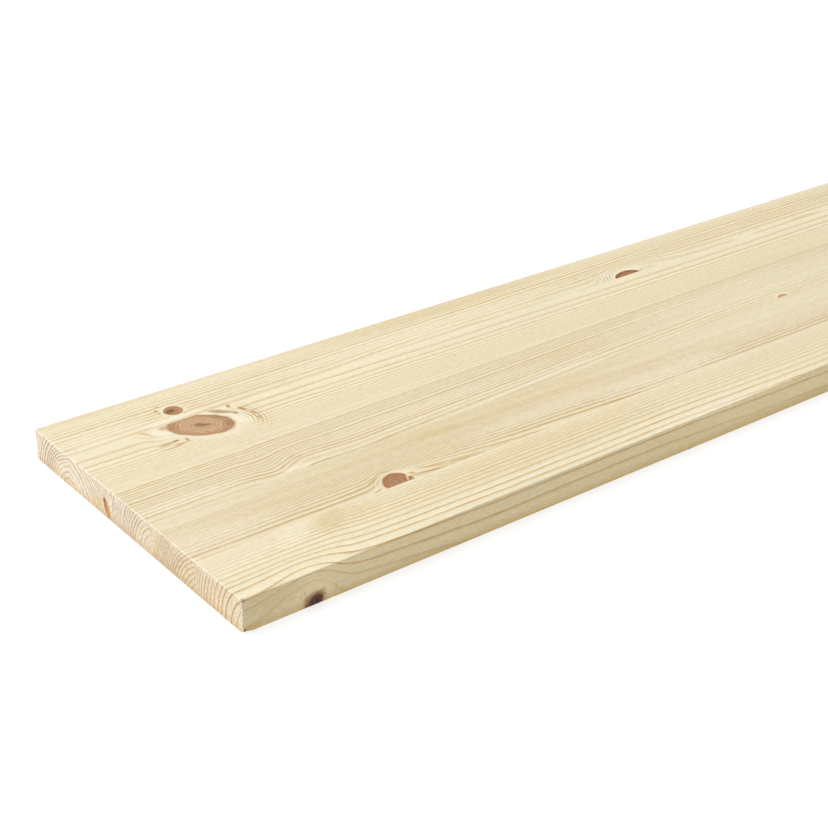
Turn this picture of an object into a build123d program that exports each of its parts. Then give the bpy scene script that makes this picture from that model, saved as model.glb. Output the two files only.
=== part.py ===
"""Edge-glued pine board: five solid staves glued edge to edge, planed flat and sawn square at both ends.

X runs along the length, Y across the width and Z up through the thickness. The origin is at the middle
of the underside. The front long edge is at -Y, and the end with the resin pocket is at -X.
"""

import os

from build123d import *

# Board, in millimetres
board_length = 1200.0
board_thickness = 18.0

# Width of each stave, from the back long edge to the front one
back_stave_width = 37.1
inner_back_stave_width = 40.3
middle_stave_width = 41.9
inner_front_stave_width = 41.3
front_stave_width = 39.4

# Light sanding that rounds the outer arrises, and leaves the glue joints square
arris_radius = 0.6

# Resin pocket: a lens-shaped hollow that the saw opened in the end of the inner back stave. Its middle
# lies beside the glue line, it leans away from that line by an angle, and its foot runs out underneath.
pocket_height = 14.0
pocket_width = 3.3
pocket_middle_height = 4.7
pocket_from_glue_line = 1.4
pocket_lean = 13.0

# Outer edges and glue lines, measured across the width from the middle of the board
board_width = (
    back_stave_width
    + inner_back_stave_width
    + middle_stave_width
    + inner_front_stave_width
    + front_stave_width
)
back_edge = board_width / 2
back_glue_line = back_edge - back_stave_width
inner_back_glue_line = back_glue_line - inner_back_stave_width
inner_front_glue_line = inner_back_glue_line - middle_stave_width
front_glue_line = inner_front_glue_line - inner_front_stave_width
front_edge = front_glue_line - front_stave_width


def planed_stave(low_edge, high_edge):
    """Part one stave from the planed and sanded board, between two edges across its width."""
    with BuildPart() as stave:
        with BuildSketch():
            Rectangle(board_length, board_width)
        extrude(amount=board_thickness)
        fillet(stave.edges(), arris_radius)
        with BuildSketch():
            with Locations((0, (low_edge + high_edge) / 2)):
                Rectangle(board_length, high_edge - low_edge)
        extrude(amount=board_thickness, mode=Mode.INTERSECT)
    return stave.part


# Back stave, along the back long edge
with BuildPart() as back_stave:
    add(planed_stave(back_glue_line, back_edge))

# Inner back stave, with the resin pocket hollowed out of its end
pocket_middle = (-board_length / 2, inner_back_glue_line + pocket_from_glue_line, pocket_middle_height)
sawn_end = Plane(origin=pocket_middle, x_dir=(0, 1, 0), z_dir=(1, 0, 0))
pocket_plane = sawn_end.rotated((0, 0, -pocket_lean))

with BuildPart() as inner_back_stave:
    add(planed_stave(inner_back_glue_line, back_glue_line))
    with BuildSketch(pocket_plane):
        with BuildLine():
            SagittaArc((0, -pocket_height / 2), (0, pocket_height / 2), pocket_width / 2)
            Line((0, pocket_height / 2), (0, -pocket_height / 2))
        make_face()
    revolve(axis=Axis(pocket_plane.origin, pocket_plane.y_dir), mode=Mode.SUBTRACT)

# Middle stave
with BuildPart() as middle_stave:
    add(planed_stave(inner_front_glue_line, inner_back_glue_line))

# Inner front stave
with BuildPart() as inner_front_stave:
    add(planed_stave(front_glue_line, inner_front_glue_line))

# Front stave, along the front long edge
with BuildPart() as front_stave:
    add(planed_stave(front_edge, front_glue_line))

# One file for each stave
os.makedirs("parts", exist_ok=True)

back_stave.part.label = "back_stave"
inner_back_stave.part.label = "inner_back_stave"
middle_stave.part.label = "middle_stave"
inner_front_stave.part.label = "inner_front_stave"
front_stave.part.label = "front_stave"

for stave in (back_stave, inner_back_stave, middle_stave, inner_front_stave, front_stave):
    export_step(stave.part, f"parts/{stave.part.label}.step")
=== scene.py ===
"""Edge-glued pine board on a pale studio floor: five planed staves, each with its own rings and knots.

The pieces are in metres, in the frame of the solids: X along the length, Y across to the back edge, Z up.
The wood is a solid pattern in millimetres: from the end with the resin pocket, from the back edge, and above
the top face. So the rings and the knots run on from the top face to the edges, the ends and the underside.
"""

import math
from collections import namedtuple
from functools import partial

import bmesh
import bpy
from mathutils import Matrix, Vector


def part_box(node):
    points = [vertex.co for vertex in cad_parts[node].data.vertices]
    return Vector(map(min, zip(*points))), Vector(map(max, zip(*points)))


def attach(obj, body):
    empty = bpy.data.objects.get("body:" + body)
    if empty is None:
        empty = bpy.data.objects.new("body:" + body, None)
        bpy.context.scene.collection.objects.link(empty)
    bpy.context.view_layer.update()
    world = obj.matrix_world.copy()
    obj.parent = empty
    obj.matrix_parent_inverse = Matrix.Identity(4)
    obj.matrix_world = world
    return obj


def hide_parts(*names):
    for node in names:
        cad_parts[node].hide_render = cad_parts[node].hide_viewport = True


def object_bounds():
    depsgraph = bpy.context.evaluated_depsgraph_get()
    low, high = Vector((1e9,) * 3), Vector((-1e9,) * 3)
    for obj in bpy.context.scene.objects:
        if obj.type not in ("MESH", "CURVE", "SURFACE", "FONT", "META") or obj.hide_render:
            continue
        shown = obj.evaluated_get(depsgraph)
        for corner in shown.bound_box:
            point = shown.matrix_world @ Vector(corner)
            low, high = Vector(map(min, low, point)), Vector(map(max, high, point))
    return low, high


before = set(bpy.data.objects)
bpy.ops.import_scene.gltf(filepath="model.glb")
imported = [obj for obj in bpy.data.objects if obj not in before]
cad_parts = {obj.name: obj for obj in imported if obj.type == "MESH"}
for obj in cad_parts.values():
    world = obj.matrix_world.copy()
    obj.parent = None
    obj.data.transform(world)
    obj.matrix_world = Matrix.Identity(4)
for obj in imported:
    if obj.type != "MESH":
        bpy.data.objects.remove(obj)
cad_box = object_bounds()

# A millimetre in metres, and the sizes of the board in millimetres
MM = 0.001
BOARD_LENGTH, BOARD_WIDTH, BOARD_THICKNESS = (round((high - low) / MM, 3) for low, high in zip(*cad_box))
ARRIS_RADIUS = 0.6

# Chips knocked off the lower and the upper front corner of the pocket end, as lengths along X, Y and Z
LOW_CHIP = (7.0, 2.2, 1.5)
HIGH_CHIP = (1.4, 1.4, -1.1)

# Resin pocket in the pocket end, half filled with resin: its middle, half its size, and its lean in degrees
POCKET_MIDDLE = (0.0, 77.0, -13.1)
POCKET_HALF_SIZE = (0.8, 2.0, 6.4)
POCKET_LEAN = 26.0

# How deep the resin soaked in along the grain, and how many times wider than the hollow it is
RESIN_DEPTH = 30.0
RESIN_SPREAD = 1.3

# How steeply the rings of the stem climb a branch, from 0 to 1
RING_CLIMB = 0.85

# Width of the late wood in a ring, and spacing of the rings in a knot and of the arcs beside it
LATE_WOOD_WIDTH = 1.4
KNOT_RING = 1.5
CURL_SPACING = 2.2

# Widest growth ring that the curve of ring widths can hold
WIDEST_RING = 10.0

# Noise patterns in the wood, with their sizes along the grain and across it. The waves bend the rings, which
# are never quite round. Rough breaks up the borders of stains and knots, fleck speckles knots, sawn ends and
# resin, and band is a slow change of colour. Real fibres are about 3 mm long and too thin to show, so fleck,
# fibre and short fibre are drawn coarser than those.
Pattern = namedtuple("Pattern", "along across detail roughness")
PATTERNS = {
    "slow_wave": Pattern(90.0, 18.0, 1.0, 0.5),
    "fine_wave": Pattern(25.0, 3.5, 1.0, 0.5),
    "rough": Pattern(7.0, 4.0, 3.0, 0.5),
    "fleck": Pattern(1.6, 1.2, 2.0, 0.5),
    "band": Pattern(160.0, 9.0, 2.0, 0.5),
    "fibre": Pattern(25.0, 0.9, 4.0, 0.65),
    "short_fibre": Pattern(4.0, 0.8, 2.0, 0.6),
}

# Colours of wood: early and late wood, paler and darker patches, and torn fibres
CREAM = "#F8EDCD"
TAN = "#D0A75C"
PALE = "#FFF6DC"
STRAW = "#E0CA98"
ORANGE = "#C08A46"

# Looks of a common brown knot
BROWN_KNOT = {"heart": "#7A4E33", "wood": "#B98A62", "rim": "#94613F", "halo": 0.5, "rings": 0.7}

# Colours of late wood on a sawn end, of the arcs beside a knot, of the halo round it, and of crushed fibres
# with a painted highlight on them
END_LATE_WOOD = "#B07F50"
CURL_TAN = "#C0934F"
HALO_CREAM = "#FFF7DF"
CRUSHED_WHITE_HIGHLIGHT = "#FFFAEC"

# Tint of the edges, and painted shade on the ends and edges towards the underside
WHITE = "#FFFFFF"
YELLOWED = "#F8F0DE"
LOW_PAINTED_SHADE = "#F4EAD5"

# Colours of the resin: dark and light amber, and rust at the top of the pocket
DARK_AMBER = "#B4742A"
LIGHT_AMBER = "#F0BC66"
RUST = "#9C541E"

# Finish of bare sanded pine, and of resin
PINE_ROUGHNESS = 0.62
PINE_IOR = 1.5
RESIN_ROUGHNESS = 0.35

# A pith is the middle of the tree that a stave was sawn from. It is given at some distances along the board,
# as (from the pocket end, from the back edge, above the top face). Slant is how far the stem leans over
# along the board, for each millimetre across it. Each growth ring has its distance from the pith and how
# dark its late wood is, from 0 to 1. The colours are those of early wood, of late wood and of the sawn ends.
# Sawn is how strongly the rings show on the sawn ends. Offset moves the noise patterns, so that no two
# staves are alike.
Stave = namedtuple(
    "Stave",
    "node pith slant rings swells stains knots curls marks early late end sawn offset",
)

# A swell is a place where the rings bulge over a branch: its middle, its spread before and after the middle
# and to the sides, and how far it carries the rings, towards the bark where below 0.
Swell = namedtuple("Swell", "middle before after side height")

# A knot is a branch: its root in the pith, the point where it meets the surface, how fast its radius grows
# along it, and the most that it grows to. Reach is how far away the rings start to climb it. Its colours are
# those of its heart, its wood and its rim. Halo is the strength of the pale ring round it, and rings is the
# strength of the rings inside it.
Knot = namedtuple("Knot", "root tip widening radius reach heart wood rim halo rings")

# A curl is a set of fine arcs that the fibres draw beside a knot: the middle of the arcs, the radius of one
# of them, the place where they show, how far they spread from it, and their strength.
Curl = namedtuple("Curl", "middle radius place spread strength")

# A mark is a small stain or streak: its middle, half its size, its turn in degrees, its colour and strength.
# The stains of a stave lie under its knots, and its marks over them.
Mark = namedtuple("Mark", "middle half_size turn tone strength")

# What each step of a wood material needs: the function that adds a node, the spot in the board and its three
# parts, how far the spot is from the middle of the board towards an end and an edge, and the noise patterns
Wood = namedtuple("Wood", "add spot along across height to_end to_edge noise")


def linear(hex_colour):
    """Linear colour of an sRGB hex value."""
    channels = [int(hex_colour[place:place + 2], 16) / 255 for place in (1, 3, 5)]
    light = [c / 12.92 if c <= 0.04045 else ((c + 0.055) / 1.055) ** 2.4 for c in channels]
    return (*light, 1.0)


def add_node(tree, kind, inputs=(), **settings):
    """Adds a node with its settings, and puts values, or links from other nodes, on its open inputs."""
    node = tree.nodes.new("ShaderNode" + kind)
    for setting, value in settings.items():
        setattr(node, setting, value)
    open_inputs = [socket for socket in node.inputs if socket.enabled]
    places = inputs if isinstance(inputs, dict) else dict(enumerate(inputs))
    for place, value in places.items():
        socket = open_inputs[place] if isinstance(place, int) else node.inputs[place]
        if isinstance(value, bpy.types.Node):
            value = next(output for output in value.outputs if output.enabled)
        if isinstance(value, bpy.types.NodeSocket):
            tree.links.new(value, socket)
        else:
            socket.default_value = value
    return node


def draw_curve(node, points, smooth):
    """Puts points on a float curve, from 0 to 1 both ways, joined smoothly or by straight lines."""
    curve = node.mapping.curves[0]
    while len(curve.points) < len(points):
        curve.points.new(0.5, 0.5)
    for point, place in zip(curve.points, sorted(points)):
        point.location = place
        point.handle_type = "AUTO" if smooth else "VECTOR"
    node.mapping.update()


def place_colours(ramp, stops):
    """Puts colours at their places on a colour ramp, which starts with two stops."""
    elements = ramp.color_ramp.elements
    for element, (place, tone) in zip(elements, stops):
        element.position = place
        element.color = linear(tone)
    for place, tone in stops[len(elements):]:
        elements.new(place).color = linear(tone)


def fade_away(add, offset):
    """1 in the middle, and less and less away from it."""
    squared = add("VectorMath", [offset, offset], operation="DOT_PRODUCT")
    halved = add("Math", [squared, -0.5], operation="MULTIPLY")
    return add("Math", [halved], operation="EXPONENT")


def find_spot(add, offset):
    """Spot in the board, in millimetres, and the noise patterns there, moved along by an offset."""
    place = add("TexCoord").outputs["Object"]
    spot = add(
        "VectorMath",
        [place, (1 / MM, -1 / MM, 1 / MM), (BOARD_LENGTH / 2, BOARD_WIDTH / 2, -BOARD_THICKNESS)],
        operation="MULTIPLY_ADD",
    )
    along, across, height = add("SeparateXYZ", [spot]).outputs
    from_middle = add("Math", [along, BOARD_LENGTH / 2], operation="SUBTRACT")
    to_end = add("Math", [from_middle], operation="ABSOLUTE")
    from_centre = add("Math", [across, BOARD_WIDTH / 2], operation="SUBTRACT")
    to_edge = add("Math", [from_centre], operation="ABSOLUTE")
    own_spot = add("VectorMath", [spot, (offset, 0.0, 0.0)], operation="ADD")
    noise = {}
    for name, pattern in PATTERNS.items():
        per_size = (1 / pattern.along, 1 / pattern.across, 1 / pattern.across)
        scaled = add("VectorMath", [own_spot, per_size], operation="MULTIPLY")
        noise[name] = add(
            "TexNoise",
            {"Vector": scaled, "Scale": 1.0, "Detail": pattern.detail, "Roughness": pattern.roughness},
        )
    return Wood(add, spot, along, across, height, to_end, to_edge, noise)


def grow_stem(wood, stave):
    """Growth of the stem at a spot: the distance from the pith, with waves, and bulges over branches."""
    add = wood.add

    # The pith wanders along the board
    leaning = add("Math", [wood.across, stave.slant, wood.along], operation="MULTIPLY_ADD")
    start = stave.slant * stave.pith[0][1]
    share = add("MapRange", [leaning, start, start + BOARD_LENGTH, 0.0, 1.0])
    pith = []
    for axis in (1, 2):
        values = [point[axis] for point in stave.pith]
        low, high = min(values), max(values)
        span = max(high - low, 1.0)
        curve = add("FloatCurve", {"Value": share})
        points = [(point[0] / BOARD_LENGTH, (point[axis] - low) / span) for point in stave.pith]
        draw_curve(curve, points, smooth=True)
        pith.append(add("Math", [curve, span, low], operation="MULTIPLY_ADD"))
    pith_place = add("CombineXYZ", [wood.along, *pith])
    from_pith = add("VectorMath", [wood.spot, pith_place], operation="DISTANCE")

    # Waves, less than a millimetre high
    slow_shift = add("Math", [wood.noise["slow_wave"], 1.0, -1.05], operation="MULTIPLY_ADD")
    waves = add("Math", [wood.noise["fine_wave"], 0.6, slow_shift], operation="MULTIPLY_ADD")
    growth = add("Math", [from_pith, waves], operation="ADD")

    # Bulges
    for swell in stave.swells:
        offset = add(
            "Mapping",
            {"Vector": wood.spot, "Location": swell.middle, "Scale": (swell.after, swell.side, swell.side)},
            vector_type="TEXTURE",
        )
        after, sideways, upward = add("SeparateXYZ", [offset]).outputs
        before = add("Math", [after, -swell.after / swell.before], operation="MULTIPLY")
        far = add("Math", [after, before], operation="MAXIMUM")
        bulge = fade_away(add, add("CombineXYZ", [far, sideways, upward]))
        growth = add("Math", [bulge, swell.height, growth], operation="MULTIPLY_ADD")
    return growth


def grow_branches(wood, growth, knots):
    """Lets the rings of the stem swell round each branch and turn along it.

    Also gives each knot with the distance of a spot from its middle line, in radii and in millimetres.
    """
    add = wood.add
    branches = []
    for knot in knots:
        root, tip = Vector(knot.root), Vector(knot.tip)
        direction = (tip - root).normalized()
        outward = math.hypot(direction.y, direction.z)
        arm = add("VectorMath", [wood.spot, tuple(root)], operation="SUBTRACT")
        run = add("VectorMath", [arm, tuple(direction)], operation="DOT_PRODUCT")
        reach = add("Math", [run, 0.0], operation="MAXIMUM")
        nearest = add("VectorMath", {0: tuple(direction), "Scale": reach}, operation="SCALE")
        aside = add("VectorMath", [arm, nearest], operation="DISTANCE")

        # The branch is a cone that stops widening, with a slightly rough border
        cone = add("Math", [reach, knot.widening], operation="MULTIPLY")
        grown = add("Math", [cone, 0.3], operation="MAXIMUM")
        radius = add("Math", [grown, knot.radius], operation="MINIMUM")
        clean_edge = add("Math", [aside, radius], operation="DIVIDE")
        rough_edge = add("Math", [wood.noise["rough"], 0.14, clean_edge], operation="MULTIPLY_ADD")
        edge = add("Math", [rough_edge, 0.07], operation="SUBTRACT")

        # The rings of the stem climb it
        growth_on = add("Math", [reach, outward * (1.0 - RING_CLIMB)], operation="MULTIPLY")
        limited = add("Math", [reach, knot.radius], operation="DIVIDE")
        steep = add("Math", [limited, 1.0 / knot.widening], operation="MAXIMUM")
        climb = add("Math", [aside, steep], operation="MULTIPLY")
        branch_growth = add("Math", [climb, outward * RING_CLIMB, growth_on], operation="MULTIPLY_ADD")
        growth = add("Math", [growth, branch_growth, knot.reach], operation="SMOOTH_MIN")
        branches.append((knot, edge, aside))
    return growth, branches


def draw_rings(add, growth, rings):
    """Strength of the late wood, which is the last part of each ring: it starts softly and stops at once."""
    rings = sorted(rings)
    span = rings[-1][0]
    last = len(rings) - 1
    growth_share = add("Math", [growth, span], operation="DIVIDE")

    # Ring number, the width of that ring, and how dark its late wood is
    number_curve = add("FloatCurve", {"Value": growth_share})
    numbers = [(ring[0] / span, number / last) for number, ring in enumerate(rings)]
    draw_curve(number_curve, numbers, smooth=False)
    number = add("Math", [number_curve, float(last)], operation="MULTIPLY")
    season = add("Math", [number], operation="FRACT")
    width_curve = add("FloatCurve", {"Value": growth_share})
    widths = [(ring[0] / span, (ring[0] - inner[0]) / WIDEST_RING) for inner, ring in zip(rings, rings[1:])]
    draw_curve(width_curve, widths, smooth=False)
    ring_width = add("Math", [width_curve, WIDEST_RING], operation="MULTIPLY")
    darkness = add("FloatCurve", {"Value": growth_share})
    draw_curve(darkness, [(radius / span, dark) for radius, dark in rings], smooth=False)

    # Late wood, after a faint darkening through the summer
    unspent = add("Math", [1.0, season], operation="SUBTRACT")
    to_winter = add("Math", [unspent, ring_width], operation="MULTIPLY")
    late_wood = add(
        "MapRange", [to_winter, LATE_WOOD_WIDTH, 0.1, 0.0, 0.9], interpolation_type="SMOOTHSTEP"
    )
    summer = add("Math", [season, 2.0], operation="POWER")
    late_wood = add("Math", [summer, 0.15, late_wood], operation="MULTIPLY_ADD")
    return add("Math", [late_wood, darkness], operation="MULTIPLY")


def lay_marks(wood, colour, marks):
    """Lays small stains and streaks with ragged borders over a colour."""
    add = wood.add
    for mark in marks:
        offset = add(
            "Mapping",
            {
                "Vector": wood.spot,
                "Location": mark.middle,
                "Rotation": (0.0, 0.0, math.radians(mark.turn)),
                "Scale": mark.half_size,
            },
            vector_type="TEXTURE",
        )
        from_mark = add("VectorMath", [offset], operation="LENGTH")
        ragged = add("Math", [wood.noise["rough"], 0.8, from_mark], operation="MULTIPLY_ADD")
        stain = add("MapRange", [ragged, 0.7, 1.4, mark.strength, 0.0], interpolation_type="SMOOTHSTEP")
        colour = add("Mix", [stain, colour, linear(mark.tone)], data_type="RGBA")
    return colour


def draw_curls(wood, colour, curls):
    """Draws the arcs of the fibres beside the knots."""
    add = wood.add
    for curl in curls:
        from_middle = add("VectorMath", [wood.spot, curl.middle], operation="DISTANCE")
        past_arc = add("Math", [from_middle, curl.radius], operation="SUBTRACT")
        turns = add("Math", [past_arc, 2 * math.pi / CURL_SPACING], operation="MULTIPLY")
        comb = add("Math", [turns], operation="COSINE")
        arc = add("MapRange", [comb, -0.3, 1.0, 0.0, curl.strength])
        offset = add(
            "Mapping",
            {"Vector": wood.spot, "Location": curl.place, "Scale": curl.spread},
            vector_type="TEXTURE",
        )
        seen = add("Math", [arc, fade_away(add, offset)], operation="MULTIPLY")
        colour = add("Mix", [seen, colour, linear(CURL_TAN)], data_type="RGBA")
    return colour


def draw_knots(wood, colour, branches):
    """Lays the knots over a colour, each with its own rings, in a pale halo."""
    add = wood.add
    mottle = add("MapRange", [wood.noise["fleck"], 0.3, 0.7, 0.8, 1.2])
    for knot, edge, aside in branches:
        halo = add("MapRange", [edge, 1.0, 1.6, knot.halo, 0.0], interpolation_type="SMOOTHSTEP")
        colour = add("Mix", [halo, colour, linear(HALO_CREAM)], data_type="RGBA")
        ring_wave = add("Math", [wood.noise["rough"], 1.5, aside], operation="MULTIPLY_ADD")
        ring_turn = add("Math", [ring_wave, 2 * math.pi / KNOT_RING], operation="MULTIPLY")
        ring_light = add("Math", [ring_turn], operation="SINE")
        darkest = 1.0 - 0.17 * knot.rings
        lightest = 1.0 + 0.1 * knot.rings
        ring_shade = add("MapRange", [ring_light, -1.0, 1.0, darkest, lightest])
        shade = add("Math", [ring_shade, mottle], operation="MULTIPLY")
        body = add("ValToRGB", [edge])
        place_colours(body, [(0.1, knot.heart), (0.28, knot.wood), (0.6, knot.wood), (0.85, knot.rim)])
        body = add("VectorMath", {0: body, "Scale": shade}, operation="SCALE")
        inside = add("MapRange", [edge, 0.94, 1.05, 1.0, 0.0])
        colour = add("Mix", [inside, colour, body], data_type="RGBA")
    return colour


def tint_ends_and_edges(wood, colour, sawn):
    """Speckles the sawn ends, yellows the edges, paints shade on the ends and edges towards the underside,
    and whitens the fibres along the end arrises, partly with a painted highlight.
    """
    add = wood.add
    fleck = wood.noise["fleck"]

    # Sawn ends
    speckle = add("MapRange", [fleck, 0.3, 0.7, 0.79, 1.13])
    end_tone = add("Mix", [sawn, 1.0, speckle])
    colour = add("VectorMath", {0: colour, "Scale": end_tone}, operation="SCALE")

    # Edges: planed before the faces were sanded, so they have yellowed more
    on_edge = add("MapRange", [wood.to_edge, BOARD_WIDTH / 2 - 0.5, BOARD_WIDTH / 2 - 0.1, 0.0, 1.0])
    edge_tone = add("Mix", [on_edge, linear(WHITE), linear(YELLOWED)], data_type="RGBA")
    colour = add("Mix", [1.0, colour, edge_tone], data_type="RGBA", blend_type="MULTIPLY")

    # Towards the underside, the edges and the ends get painted shade, darker and yellower, standing for the
    # contact shadow near the floor, but not the underside itself
    low = add("MapRange", [wood.height, -11.5, -17.5, 0.0, 1.0], interpolation_type="SMOOTHSTEP")
    not_under = add("MapRange", [wood.height, 0.05 - BOARD_THICKNESS, 0.25 - BOARD_THICKNESS, 0.0, 1.0])
    low = add("Math", [low, not_under], operation="MULTIPLY")
    painted_low_shade = add("Mix", [low, linear(WHITE), linear(LOW_PAINTED_SHADE)], data_type="RGBA")
    colour = add("Mix", [1.0, colour, painted_low_shade], data_type="RGBA", blend_type="MULTIPLY")

    # Crushed fibres along the arrises of the sawn ends are whiter, and a painted highlight on them stands
    # for the light they catch, most of all at the four corners
    from_mid_height = add("Math", [wood.height, BOARD_THICKNESS / 2], operation="ADD")
    to_face = add("Math", [from_mid_height], operation="ABSOLUTE")
    end_arris = add("MapRange", [wood.to_end, BOARD_LENGTH / 2 - 0.8, BOARD_LENGTH / 2 - 0.3, 0.0, 1.0])
    face_arris = add("MapRange", [to_face, BOARD_THICKNESS / 2 - 0.7, BOARD_THICKNESS / 2 - 0.3, 0.0, 0.7])
    worn = add("MapRange", [wood.noise["rough"], 0.35, 0.6, 0.1, 0.8])
    worn_lit_arris = add("Math", [face_arris, worn], operation="MULTIPLY")
    ragged_edge = add("Math", [fleck, 4.5, wood.to_edge], operation="MULTIPLY_ADD")
    fringe = add("MapRange", [ragged_edge, BOARD_WIDTH / 2 + 1.2, BOARD_WIDTH / 2 + 2.4, 0.0, 0.85])
    on_end = add("MapRange", [wood.to_end, BOARD_LENGTH / 2 - 0.5, BOARD_LENGTH / 2 - 0.2, 0.0, 1.0])
    corner = add("Math", [fringe, on_end], operation="MULTIPLY")
    arris = add("Math", [worn_lit_arris, corner], operation="MAXIMUM")
    crushed_and_highlight = add("Math", [end_arris, arris], operation="MULTIPLY")
    return add("Mix", [crushed_and_highlight, colour, linear(CRUSHED_WHITE_HIGHLIGHT)], data_type="RGBA")


def line_pocket(wood, colour):
    """Lines the resin pocket and the wood round it with amber resin. Gives the colour and the roughness."""
    add = wood.add
    fleck = wood.noise["fleck"]
    _, pocket_across, pocket_up = POCKET_HALF_SIZE
    offset = add(
        "Mapping",
        {
            "Vector": wood.spot,
            "Location": POCKET_MIDDLE,
            "Rotation": (math.radians(POCKET_LEAN), 0.0, 0.0),
            "Scale": (RESIN_DEPTH, RESIN_SPREAD * pocket_across, pocket_up),
        },
        vector_type="TEXTURE",
    )
    from_pocket = add("VectorMath", [offset], operation="LENGTH")
    ragged = add("Math", [fleck, 0.3, from_pocket], operation="MULTIPLY_ADD")
    lined = add("MapRange", [ragged, 1.15, 1.35, 1.0, 0.0])
    amber = add("ValToRGB", [fleck])
    place_colours(amber, [(0.35, DARK_AMBER), (0.65, LIGHT_AMBER)])
    rusty = add("MapRange", [wood.height, -11.0, -8.0, 0.0, 0.9])
    resin = add("Mix", [rusty, amber, linear(RUST)], data_type="RGBA")
    colour = add("Mix", [lined, colour, resin], data_type="RGBA")
    roughness = add("MapRange", [lined, 0.0, 1.0, PINE_ROUGHNESS, RESIN_ROUGHNESS])
    return colour, roughness


def planed_pine(stave):
    """Planed pine, sanded and left bare: pale cream early wood with fine tan lines of late wood, soft fibre
    streaks along the grain, and reddish brown knots in a paler swirl of fibres.
    """
    material = bpy.data.materials.new("planed_pine_" + stave.node)
    material.use_nodes = True
    tree = material.node_tree
    tree.nodes.clear()
    add = partial(add_node, tree)
    wood = find_spot(add, stave.offset)
    fibre = wood.noise["fibre"]
    band = wood.noise["band"]

    # Growth rings, with breaks in their lines; on the sawn ends only the darker lines stand out
    growth, branches = grow_branches(wood, grow_stem(wood, stave), stave.knots)
    ring_line = draw_rings(add, growth, stave.rings)
    fibre_break = add("MapRange", [fibre, 0.3, 0.7, 0.55, 1.35])
    band_break = add("MapRange", [band, 0.3, 0.7, 0.7, 1.2])
    face_line = add("Math", [ring_line, fibre_break], operation="MULTIPLY")
    face_line = add("Math", [face_line, band_break], operation="MULTIPLY")
    end_line = add("Math", [ring_line, 1.25], operation="POWER")
    end_line = add("Math", [end_line, stave.sawn], operation="MULTIPLY")
    sawn = add("MapRange", [wood.to_end, BOARD_LENGTH / 2 - 0.6, BOARD_LENGTH / 2 - 0.2, 0.0, 1.0])
    line = add("Mix", [sawn, face_line, end_line])
    line = add("Math", [line, 0.0], operation="ADD", use_clamp=True)

    # Colours of early wood, late wood and the sawn ends
    late = add("Mix", [sawn, linear(stave.late), linear(END_LATE_WOOD)], data_type="RGBA")
    colour = add("Mix", [line, linear(stave.early), late], data_type="RGBA")
    end_share = add("Math", [sawn, 0.3], operation="MULTIPLY")
    colour = add("Mix", [end_share, colour, linear(stave.end)], data_type="RGBA")

    # What lies over them
    colour = lay_marks(wood, colour, stave.stains)
    colour = draw_curls(wood, colour, stave.curls)
    colour = draw_knots(wood, colour, branches)
    colour = lay_marks(wood, colour, stave.marks)
    colour = tint_ends_and_edges(wood, colour, sawn)
    roughness = PINE_ROUGHNESS
    if stave.node == "inner_back_stave":
        colour, roughness = line_pocket(wood, colour)

    # Soft shade of the fibres, with short fine flecks between them
    fibre_shade = add("MapRange", [fibre, 0.2, 0.8, 0.91, 1.06])
    band_shade = add("MapRange", [band, 0.25, 0.75, 0.96, 1.03])
    short_shade = add("MapRange", [wood.noise["short_fibre"], 0.25, 0.75, 0.88, 1.09])
    shade = add("Math", [fibre_shade, band_shade], operation="MULTIPLY")
    shade = add("Math", [shade, short_shade], operation="MULTIPLY")
    colour = add("VectorMath", {0: colour, "Scale": shade}, operation="SCALE")

    # Fine raised grain
    relief = add("Math", [line, -0.5, fibre], operation="MULTIPLY_ADD")
    bump = add("Bump", {"Height": relief, "Strength": 0.25, "Distance": 0.08 * MM})
    surface = add(
        "BsdfPrincipled",
        {"Base Color": colour, "Roughness": roughness, "IOR": PINE_IOR, "Normal": bump},
    )
    add("OutputMaterial", {"Surface": surface})
    return material


def chip_corner(shape, corner, lengths):
    """Knocks a corner off, as far as some lengths along the three arrises that meet there."""
    across_chip = Vector((1 / lengths.x, 1 / lengths.y, 1 / lengths.z))
    everything = shape.verts[:] + shape.edges[:] + shape.faces[:]
    cut = bmesh.ops.bisect_plane(
        shape, geom=everything, plane_co=corner + Vector((lengths.x, 0.0, 0.0)), plane_no=-across_chip,
        clear_outer=True,
    )
    cut_edges = [piece for piece in cut["geom_cut"] if isinstance(piece, bmesh.types.BMEdge)]
    bmesh.ops.holes_fill(shape, edges=cut_edges, sides=0)


def planed_stave(stave):
    """One stave: a planed bar whose outer arrises are sanded round, and whose glue joints stay square."""
    low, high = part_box(stave.node)
    shape = bmesh.new()
    bmesh.ops.create_cube(shape, size=1.0)
    bmesh.ops.scale(shape, vec=high - low, verts=shape.verts)
    bmesh.ops.translate(shape, vec=(low + high) / 2, verts=shape.verts)
    board_low, board_high = cad_box
    outer = []
    for edge in shape.edges:
        middle = (edge.verts[0].co + edge.verts[1].co) / 2
        sides = [
            min(abs(middle[axis] - board_low[axis]), abs(middle[axis] - board_high[axis])) < 0.01 * MM
            for axis in range(3)
        ]
        if sum(sides) == 2:
            outer.append(edge)
    bmesh.ops.bevel(
        shape, geom=outer, offset=ARRIS_RADIUS * MM, offset_type="OFFSET", segments=3, profile=0.5,
        affect="EDGES", material=-1,
    )
    if stave.node == "front_stave":
        chip_corner(shape, Vector((low.x, low.y, low.z)), Vector(LOW_CHIP) * MM)
        chip_corner(shape, Vector((low.x, low.y, high.z)), Vector(HIGH_CHIP) * MM)
    mesh = bpy.data.meshes.new(stave.node + "_wood")
    shape.to_mesh(mesh)
    shape.free()
    piece = bpy.data.objects.new(stave.node + "_wood", mesh)
    bpy.context.scene.collection.objects.link(piece)
    mesh.materials.append(planed_pine(stave))
    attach(piece, "root")
    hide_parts(stave.node)
    return piece


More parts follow.
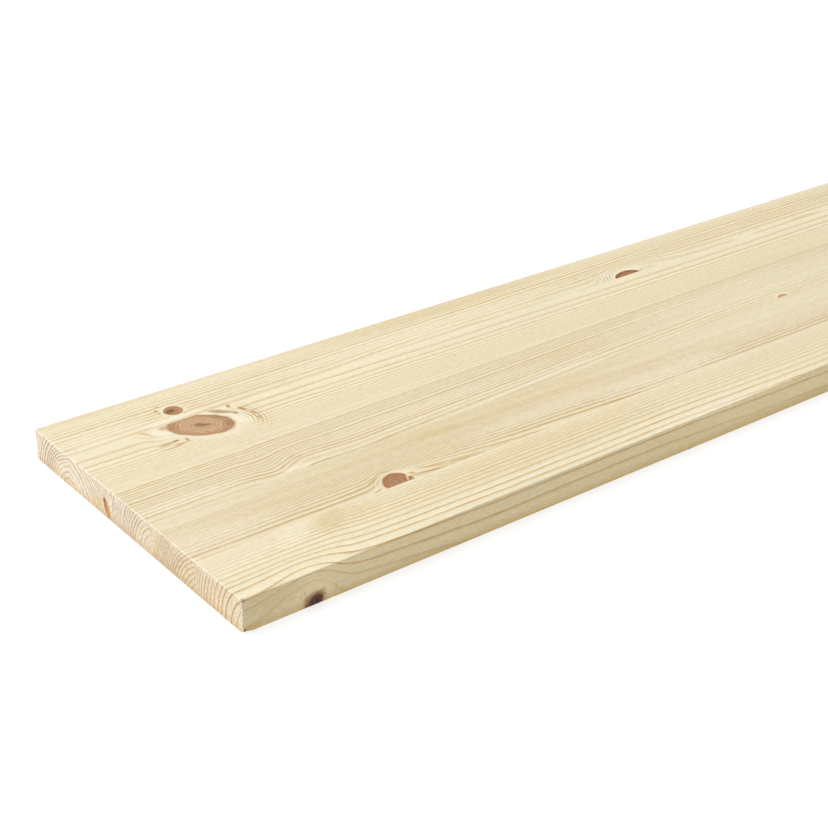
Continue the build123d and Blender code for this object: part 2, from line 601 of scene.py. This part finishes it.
def open_resin_pocket(piece):
    """Hollows the resin pocket out of the end of a stave."""
    shape = bmesh.new()
    bmesh.ops.create_uvsphere(shape, u_segments=24, v_segments=20, radius=1.0)
    bmesh.ops.scale(shape, vec=Vector(POCKET_HALF_SIZE) * MM, verts=shape.verts)
    lean = Matrix.Rotation(math.radians(-POCKET_LEAN), 3, "X")
    bmesh.ops.rotate(shape, cent=(0.0, 0.0, 0.0), matrix=lean, verts=shape.verts)
    middle = Vector((
        POCKET_MIDDLE[0] - BOARD_LENGTH / 2,
        BOARD_WIDTH / 2 - POCKET_MIDDLE[1],
        POCKET_MIDDLE[2] + BOARD_THICKNESS,
    ))
    bmesh.ops.translate(shape, vec=middle * MM, verts=shape.verts)
    mesh = bpy.data.meshes.new("pocket_hollow")
    shape.to_mesh(mesh)
    shape.free()
    hollow = bpy.data.objects.new("pocket_hollow", mesh)
    bpy.context.scene.collection.objects.link(hollow)
    cut = piece.modifiers.new("pocket", "BOOLEAN")
    cut.operation = "DIFFERENCE"
    cut.solver = "EXACT"
    cut.object = hollow
    settled = piece.evaluated_get(bpy.context.evaluated_depsgraph_get())
    whole = piece.data
    piece.data = bpy.data.meshes.new_from_object(settled)
    piece.modifiers.clear()
    bpy.data.objects.remove(hollow)
    bpy.data.meshes.remove(mesh)
    bpy.data.meshes.remove(whole)
    piece.data.name = piece.name


# The five staves, from the back edge to the front edge
STAVES = (
    Stave(
        node="back_stave",
        pith=(
            (0, 42.5, -26), (160, 42.6, -25.2), (245, 42.4, -24.1), (325, 39.9, -24.9),
            (600, 38, -25), (1200, 41, -28),
        ),
        slant=0.0,
        rings=(
            (9, 0.3), (12, 0.4), (15, 0.7), (18, 0.35), (21, 0.3), (23, 0.35), (24.9, 0.4),
            (26.6, 0.5), (28.5, 0.75), (30.1, 0.6), (31.7, 0.6), (33.5, 0.9), (36.2, 0.8),
            (38.3, 0.6), (40.6, 0.5), (42.6, 0.3), (44.6, 0.25), (47, 0.3), (48, 0.3), (50.5, 0.3),
            (53, 0.3),
        ),
        swells=(
            Swell(middle=(394, 36, 0), before=10, after=25, side=9, height=-3.0),
        ),
        stains=(
            # Pale swirls beside the two knots
            Mark((62, 33, 0), (26, 4.5, 5), 0, PALE, 0.65),
            Mark((380, 31, 0), (9, 6, 5), -30, PALE, 0.7),
            Mark((404, 30, 0), (12, 4, 5), 10, PALE, 0.6),
            # Low part of the end
            Mark((0, 33, -16), (2, 8, 5), 0, "#EBCF9A", 0.5),
            # Pale and straw-coloured bands
            Mark((20, 27, 0), (45, 13, 6), 0, PALE, 0.4),
            Mark((230, 24, 0), (170, 10, 6), 0, PALE, 0.42),
            Mark((265, 5, 0), (140, 9, 6), 0, STRAW, 0.45),
            Mark((30, 3, 0), (60, 5, 6), 0, STRAW, 0.2),
            Mark((305, 37, 0), (60, 4, 4), 0, STRAW, 0.4),
        ),
        knots=(
            Knot(
                root=(64, 36, -40), tip=(67.9, 25.5, 0), widening=0.13, radius=5.4, reach=6,
                heart="#B08660", wood="#B98C62", rim="#C3955C", halo=0.8, rings=0.9,
            ),
            Knot(
                root=(369, 41.5, -23), tip=(392.8, 38.6, 0), widening=0.42, radius=7.6, reach=8,
                heart="#A87450", wood="#B07A56", rim="#9A6240", halo=0.7, rings=0.3,
            ),
            Knot(
                root=(800, 39, -28), tip=(822, 14, 0), widening=0.15, radius=6.5, reach=10,
                **BROWN_KNOT,
            ),
        ),
        curls=(
            Curl(
                middle=(396, 42, 0), radius=15.5,
                place=(380, 34, 0), spread=(4, 3.5, 20), strength=0.8,
            ),
        ),
        marks=(
            # Dark heart of the small knot, and stubs of fibre round it
            Mark((66.2, 25.3, 0), (3.6, 3.2, 3), 0, "#5A3C2C", 0.68),
            Mark((60.2, 20.8, 0), (1.4, 1.9, 3), 0, ORANGE, 0.8),
            Mark((60.4, 24.2, 0), (1.2, 1.5, 3), 0, "#C4924F", 0.75),
            Mark((62.9, 16.8, 0), (2.0, 1.0, 3), 0, "#CC9E60", 0.65),
            Mark((74.3, 25.1, 0), (2.0, 0.8, 3), 0, "#CC9E60", 0.65),
            Mark((71.8, 30.8, 0), (1.4, 1.4, 3), 0, "#C89A5C", 0.65),
            # Tips of the knot at the glue line
            Mark((384.2, 35.6, 0), (2.8, 1.0, 3), -45, "#7E4630", 0.8),
            Mark((405.4, 35.9, 0), (2.0, 1.4, 3), 0, "#C08E4E", 0.75),
        ),
        early=CREAM,
        late=TAN,
        end="#FFEEDD",
        sawn=3.0,
        offset=0.0,
    ),
    Stave(
        node="inner_back_stave",
        pith=(
            (0, 33, -26.5), (50, 33, -26.5), (120, 29.5, -26.5), (315, 30.0, -25.8), (600, 31, -27),
            (1200, 33, -30),
        ),
        slant=0.0,
        rings=(
            (6, 0.3), (10, 0.4), (14.2, 0.7), (18.2, 0.3), (22.1, 0.5), (26.4, 0.7), (30.0, 0.55),
            (33.6, 0.7), (36.6, 0.6), (39.0, 0.55), (41.2, 0.5), (43.0, 0.5), (45.2, 0.45),
            (46.8, 0.4), (48.2, 0.45), (49.7, 0.4), (51.0, 0.4), (53.0, 0.5), (55.0, 0.3),
        ),
        swells=(),
        stains=(
            # Pale swirls round the big knot
            Mark((86, 41, 0), (12, 5, 6), 32, PALE, 0.75),
            Mark((95, 53, 0), (9, 12, 6), 0, PALE, 0.7),
            Mark((50, 45, 0), (8, 9, 6), 0, PALE, 0.5),
            # Yellowed wood on the end, beside the resin
            Mark((0, 66, -13), (2, 9, 7), 0, "#EBCF94", 0.5),
        ),
        knots=(
            Knot(
                root=(44.9, 32.2, -26.5), tip=(71.2, 48.4, 0), widening=0.5, radius=12.0, reach=10,
                heart="#B48C66", wood="#D3AD84", rim="#C2986E", halo=0.5, rings=1.1,
            ),
            Knot(
                root=(905, 32, -28), tip=(930, 60, 0), widening=0.15, radius=7.0, reach=10,
                **BROWN_KNOT,
            ),
        ),
        curls=(
            Curl(
                middle=(84.5, 55, 0), radius=17.8,
                place=(100.5, 54.5, 0), spread=(3.2, 7, 20), strength=1.0,
            ),
        ),
        marks=(
            # In the big knot: a streak along its heart, and patches at both its ends
            Mark((72.4, 48.4, 0), (7.5, 1.7, 3), 32, "#8A6244", 0.65),
            Mark((53.8, 40.0, 0), (3.8, 3.8, 3), 27, "#D4AA78", 0.75),
            Mark((58.5, 42.2, 0), (4.0, 5.0, 3), 27, "#A87450", 0.35),
            Mark((84.2, 54.8, 0), (3.6, 5.0, 3), 27, "#94664C", 0.42),
            # Fibres that bend round its far end
            Mark((83.5, 46.0, 0), (8, 3, 3), 42, "#A07C62", 0.45),
            Mark((87.2, 41.4, 0), (11, 3.0, 6), 40, "#B48E5C", 0.8),
            Mark((93.2, 47.4, 0), (3.0, 1.9, 6), 50, "#A87B48", 0.8),
            Mark((94.2, 38.7, 0), (1.7, 3.2, 6), 10, "#B87F42", 0.85),
            Mark((98.6, 45.6, 0), (1.9, 4.2, 6), -15, "#B98A4A", 0.85),
            Mark((101.4, 52.8, 0), (1.3, 3.0, 6), -8, "#BE924E", 0.7),
            Mark((100.9, 59.2, 0), (1.2, 2.8, 6), 8, "#C29A58", 0.65),
            # Fibres that bend round its near end
            Mark((47, 56.3, 0), (9, 1.5, 6), -5, "#BF9558", 0.7),
            Mark((51.8, 55.7, 0), (2.8, 1.5, 6), -10, "#B08448", 0.7),
            Mark((52.5, 60, 0), (7, 1.3, 6), 0, "#C6A062", 0.65),
            Mark((57.6, 57.8, 0), (1.5, 3.3, 6), 10, "#C29A5C", 0.7),
            Mark((46, 61.2, 0), (9, 1.2, 6), 6, "#CBA86C", 0.5),
            Mark((41, 43.8, 0), (9, 0.8, 6), 36, "#D2B478", 0.55),
        ),
        early=CREAM,
        late=TAN,
        end="#FAE9DA",
        sawn=2.1,
        offset=1700.0,
    ),
    Stave(
        node="middle_stave",
        pith=(
            (0, 130, -22), (20, 130, -22), (160, 130, -18), (245, 129.5, -15), (325, 128.5, -12.5),
            (600, 127, -8), (1200, 124, -12),
        ),
        slant=0.0,
        rings=(
            (6, 0.3), (9, 0.3), (12, 0.4), (14.5, 0.4), (16.5, 0.4), (19.1, 0.5), (22.2, 0.7),
            (24.6, 0.4), (27.3, 0.8), (29.2, 0.95), (31.4, 0.7), (33.4, 0.6), (35.0, 0.6),
            (36.8, 0.6), (38.8, 1.0), (42.0, 0.6), (43.8, 0.6), (45.5, 0.6), (47.9, 0.6),
            (49.7, 0.85), (53.9, 0.08), (57.0, 0.1), (60.0, 0.1),
        ),
        swells=(
            Swell(middle=(75, 110, 0), before=8, after=8, side=13, height=2.2),
            Swell(middle=(96, 110, 0), before=9, after=14, side=13, height=-2.2),
        ),
        stains=(
            # Pale strip on the end, beside the glue line
            Mark((0, 81.0, -8), (2, 1.2, 9), 0, "#FBF4E2", 0.7),
            # Pale bands and patches on the top, and a tan line at the knot
            Mark((25, 110, 0), (45, 6, 6), 0, PALE, 0.4),
            Mark((185, 102, 0), (110, 8, 6), 0, PALE, 0.25),
            Mark((86, 116, 0), (12, 3, 4), 0, "#FFF6DD", 0.6),
            Mark((256, 114.2, 0), (58, 1.3, 3), -3.8, "#FFF8E6", 0.6),
            Mark((455, 98, 0), (190, 19, 20), 0, "#FAF0D4", 0.45),
            Mark((459, 119.2, 0), (12, 1.0, 3), 2, "#D9B278", 0.6),
            # On the end: greyer wood, and torn fibres below the top arris
            Mark((0, 88, -12), (2, 12, 8), 0, "#E9DCC8", 0.5),
            Mark((0, 81.6, -2), (1.5, 1.0, 3), 0, "#C79C76", 0.6),
            Mark((0, 86.5, -2.2), (1.5, 1.2, 3), 0, "#FFFDF6", 0.6),
            Mark((0, 89.6, -2.6), (1.5, 1.0, 3), 0, "#FFFDF6", 0.6),
            Mark((0, 93.0, -2.4), (1.5, 1.2, 3), 0, "#FFFDF6", 0.6),
            Mark((0, 97.2, -3.2), (1.5, 1.0, 3), 0, "#FFFDF6", 0.5),
        ),
        knots=(
            Knot(
                root=(440, 128, -40), tip=(445.5, 122.5, 0), widening=0.147, radius=6.0, reach=8,
                heart="#CC9C66", wood="#D6AA74", rim="#CFA068", halo=0.6, rings=0.3,
            ),
            Knot(
                root=(690, 125, -10), tip=(698, 112, 0), widening=0.36, radius=6.0, reach=9,
                **BROWN_KNOT,
            ),
        ),
        curls=(),
        marks=(
            # Resin that crept past the glue line
            Mark((0, 77.6, -13.6), (1.5, 2.3, 5.6), 0, "#CE9142", 0.9),
        ),
        early="#F3E7C6",
        late="#C79F58",
        end="#EAD6C0",
        sawn=1.3,
        offset=3400.0,
    ),
    Stave(
        node="inner_front_stave",
        pith=(
            (0, 177.5, -32.4), (100, 177.5, -32.4), (200, 177.5, -32.4), (260, 179.6, -32.4),
            (325, 182.2, -32.4), (400, 183, -32.4), (600, 184, -31), (1200, 180, -28),
        ),
        slant=0.0,
        rings=(
            (16.5, 0.4), (19, 0.4), (21.5, 0.4), (24.0, 0.5), (26.5, 0.5), (29.0, 0.6), (31.5, 0.6),
            (34.0, 0.6), (36.3, 0.6), (38.5, 0.8), (40.5, 0.78), (42.4, 0.7), (44.2, 0.65),
            (45.7, 0.55), (47.2, 0.55), (48.6, 0.55), (49.9, 0.55), (51.2, 0.5), (52.6, 0.4),
            (54.1, 0.4), (55.5, 0.6), (56.8, 0.35), (58.2, 0.4), (63.8, 0.1), (67.0, 0.1),
        ),
        swells=(
            Swell(middle=(119, 158, 0), before=7, after=36, side=11, height=-6.5),
        ),
        stains=(
            # Pale wood round the knot
            Mark((109, 156, 0), (5, 6, 4), -56, "#F7E8C2", 0.6),
            Mark((128, 152, 0), (10, 3.5, 4), 25, "#FBEFCB", 0.7),
            # Pale and straw-coloured bands
            Mark((440, 140, 0), (150, 17, 20), 0, "#FAF0D4", 0.35),
            Mark((190, 126, 0), (190, 11, 6), 0, STRAW, 0.42),
            Mark((10, 146, 0), (60, 14, 6), 0, PALE, 0.35),
            Mark((230, 144, 0), (85, 8, 6), 0, PALE, 0.3),
            Mark((310, 151, 0), (65, 11, 6), 0, PALE, 0.42),
            Mark((158, 161, 0), (40, 6, 4), 0, STRAW, 0.6),
            Mark((164, 128.5, 0), (26, 4, 4), 4, "#D9C08A", 0.45),
        ),
        knots=(
            Knot(
                root=(106, 176, -32.4), tip=(117.2, 158.2, 0), widening=0.4, radius=7.6, reach=7,
                heart="#B08868", wood="#B4845C", rim="#B27A50", halo=0.35, rings=0.35,
            ),
            Knot(
                root=(1010, 180, -29), tip=(1032, 141, 0), widening=0.14, radius=7.5, reach=10,
                **BROWN_KNOT,
            ),
        ),
        curls=(
            Curl(
                middle=(117, 161, 0), radius=11.2,
                place=(109.2, 154.2, 0), spread=(2.8, 3.6, 20), strength=0.65,
            ),
        ),
        marks=(
            # Tip of the knot: a dark patch, a pale split and tan fibres
            Mark((125.2, 158.8, 0), (2.2, 3.2, 3), 25, "#A2713A", 0.85),
            Mark((124.2, 157.0, 0), (0.9, 5.6, 3), 27, "#F3DFAE", 0.85),
            Mark((128.2, 155.6, 0), (2.6, 1.6, 3), 25, "#D3A35E", 0.75),
            # Fine lines that bend round the knot
            Mark((137, 159.0, 0), (11, 0.9, 2), 14, "#C29350", 0.8),
            Mark((141, 156.0, 0), (12, 0.9, 2), 18, "#C89B58", 0.6),
            Mark((157, 159.4, 0), (11, 0.9, 2), 6, "#CDA260", 0.6),
            Mark((92, 153.3, 0), (14, 0.8, 2), -3, "#C9A05E", 0.55),
            Mark((108, 150.0, 0), (8.5, 0.8, 2), -28, "#C9A05E", 0.55),
            Mark((119, 146.6, 0), (8, 0.8, 2), 4, "#CBA464", 0.5),
        ),
        early="#F2E5C4",
        late="#C79F58",
        end="#E0BD90",
        sawn=1.3,
        offset=5100.0,
    ),
    Stave(
        node="front_stave",
        pith=(
            (0, 213.5, -19.5), (25, 213.5, -19.5), (39, 213.5, -21.5), (54, 213.4, -23.8),
            (79, 213.2, -25), (109, 213, -25.8), (149, 212.4, -26.8), (229, 212.5, -26.8),
            (309, 214, -27), (389, 215.5, -27), (600, 217, -27), (1200, 214, -26),
        ),
        slant=0.9,
        rings=(
            (9, 0.4), (13.9, 0.35), (18.9, 0.5), (23.2, 0.8), (28.2, 0.95), (31.7, 0.75),
            (34.7, 0.75), (38.2, 0.75), (41.4, 0.7), (43.9, 0.7), (46.3, 0.65), (48.8, 0.6),
            (50.7, 0.55), (52.4, 0.5), (54.0, 0.45), (56.0, 0.35),
        ),
        swells=(
            Swell(middle=(36, 200, -8), before=14, after=11, side=9, height=-6.5),
            Swell(middle=(150, 200, -18), before=35, after=400, side=6, height=4.0),
        ),
        stains=(
            # Pale and straw-coloured patches on the top and the end
            Mark((18, 166, 0), (62, 17, 5), -12, CREAM, 0.5),
            Mark((0, 176, -10), (1.5, 9, 12), 0, "#EDD3AC", 0.4),
            Mark((190, 176, 0), (130, 17, 6), 0, STRAW, 0.3),
            Mark((305, 198, 0), (70, 7, 4), 0, PALE, 0.45),
            Mark((470, 180, 0), (220, 36, 8), 0, "#F1E2BF", 0.45),
            Mark((51, 166.5, 0), (20, 9, 5), -40, PALE, 0.35),
            # Darker patches right of where the fibres dip by the knot in the edge: painted shade for the
            # sheen that these fibres lose
            Mark((78, 168, 0), (28, 13, 5), 0, "#E2CB98", 0.3),
            Mark((70, 168, 0), (18, 9, 5), -50, "#D8BC84", 0.22),
            # Bands on the edge
            Mark((6, 200, -4), (34, 3, 12), 0, "#D9C9A0", 0.4),
            Mark((240, 200, -14), (220, 3, 8), 0, "#FFF3CA", 0.4),
            Mark((350, 200, -11), (130, 3, 14), 0, "#FFF3CA", 0.4),
            # Pale wood and bark round the knot in the edge
            Mark((39, 200, -12.0), (16, 7, 10), 0, "#FFF2CC", 0.95),
            Mark((38.5, 200, -15.8), (9, 5, 7), 0, "#A87640", 0.8),
            Mark((39.3, 200, -15.0), (7.0, 4, 6.2), 0, "#8A5630", 0.8),
        ),
        knots=(
            Knot(
                root=(27, 213.5, -19.0), tip=(39.2, 200, -15.6), widening=0.25, radius=2.9, reach=8,
                heart="#28120A", wood="#4C2412", rim="#76421E", halo=0.0, rings=0.5,
            ),
            Knot(
                root=(742, 216, -21), tip=(768, 186, 0), widening=0.156, radius=7.0, reach=10,
                **BROWN_KNOT,
            ),
        ),
        curls=(),
        marks=(
            # Specks in the edge, and a dark spot on its lower arris
            Mark((50.3, 200, -13), (0.7, 2, 2.2), 0, "#8E6A3C", 0.3),
            Mark((38.2, 200, -15.6), (0.6, 2, 1.8), 0, "#8E5C34", 0.7),
            Mark((281.6, 199.6, -17.5), (2.2, 1.5, 0.9), 0, "#8A6440", 0.8),
            Mark((34.2, 200, -16.6), (2.2, 2, 1.6), 0, "#8A5426", 0.8),
            Mark((31, 200, -11.2), (0.9, 1, 0.9), 0, "#8E6A3C", 0.4),
            Mark((33, 200, -9.6), (0.8, 1, 0.8), 0, "#8E6A3C", 0.4),
            # Shade in the two chips of the corner
            Mark((0.8, 199.3, -0.6), (1.6, 1.6, 1.3), 0, "#8F8562", 0.8),
            Mark((0.8, 200, -16.4), (1.3, 1.2, 1.5), 0, "#5A4020", 0.85),
        ),
        early=CREAM,
        late="#CFA55A",
        end="#E2BD93",
        sawn=1.5,
        offset=6800.0,
    ),
)

for stave in STAVES:
    stave_piece = planed_stave(stave)
    if stave.node == "inner_back_stave":
        open_resin_pocket(stave_piece)

# Pale studio floor, which runs out of the picture on all sides
FLOOR_REACH = 60.0
floor_shape = bmesh.new()
bmesh.ops.create_grid(floor_shape, x_segments=1, y_segments=1, size=FLOOR_REACH)
floor_mesh = bpy.data.meshes.new("floor")
floor_shape.to_mesh(floor_mesh)
floor_shape.free()
floor = bpy.data.objects.new("floor", floor_mesh)
bpy.context.scene.collection.objects.link(floor)

# White paper, lit through from below, so that shadows on it stay faint
paper = bpy.data.materials.new("white_paper")
paper.use_nodes = True
paper_surface = paper.node_tree.nodes["Principled BSDF"]
paper_surface.inputs["Base Color"].default_value = linear("#A0A0A0")
paper_surface.inputs["Roughness"].default_value = 0.9
paper_surface.inputs["Specular IOR Level"].default_value = 0.0
paper_surface.inputs["Emission Color"].default_value = linear(WHITE)
paper_surface.inputs["Emission Strength"].default_value = 0.75
floor_mesh.materials.append(paper)

# Soft light: a pale room, and a large lamp above the back of the pocket end
world = bpy.data.worlds.new("studio")
world.use_nodes = True
world.node_tree.nodes["Background"].inputs["Color"].default_value = linear("#FFFCF8")
world.node_tree.nodes["Background"].inputs["Strength"].default_value = 0.26
bpy.context.scene.world = world

LAMP_AIM = Vector((-0.35, 0.0, 0.0))
LAMP_PLACE = LAMP_AIM + Vector((-2.7, 2.1, 6.0))
lamp_data = bpy.data.lights.new("soft_lamp", "AREA")
lamp_data.shape = "SQUARE"
lamp_data.size = 6.0
lamp_data.energy = 515.0
lamp = bpy.data.objects.new("soft_lamp", lamp_data)
bpy.context.scene.collection.objects.link(lamp)
lamp_turn = (LAMP_AIM - LAMP_PLACE).to_track_quat("-Z", "Y").to_matrix().to_4x4()
lamp.matrix_world = Matrix.Translation(LAMP_PLACE) @ lamp_turn

# Camera, in front of the pocket end
CAMERA_PLACE = Vector((-0.91213, -0.62302, 0.42580))
CAMERA_FORWARD = Vector((0.54442, 0.69978, -0.46252))
CAMERA_RIGHT = Vector((0.79092, -0.61190, 0.00520))
forward = CAMERA_FORWARD.normalized()
right = (CAMERA_RIGHT - forward * CAMERA_RIGHT.dot(forward)).normalized()
up = right.cross(forward)
camera_data = bpy.data.cameras.new("camera")
camera_data.sensor_width = 36.0
camera_data.lens = 72.173
camera_data.clip_start = 0.01
camera = bpy.data.objects.new("camera", camera_data)
bpy.context.scene.collection.objects.link(camera)
camera_turn = Matrix((right, up, -forward)).transposed().to_4x4()
camera.matrix_world = Matrix.Translation(CAMERA_PLACE) @ camera_turn
bpy.context.scene.camera = camera
bpy.context.scene.view_settings.view_transform = "Standard"
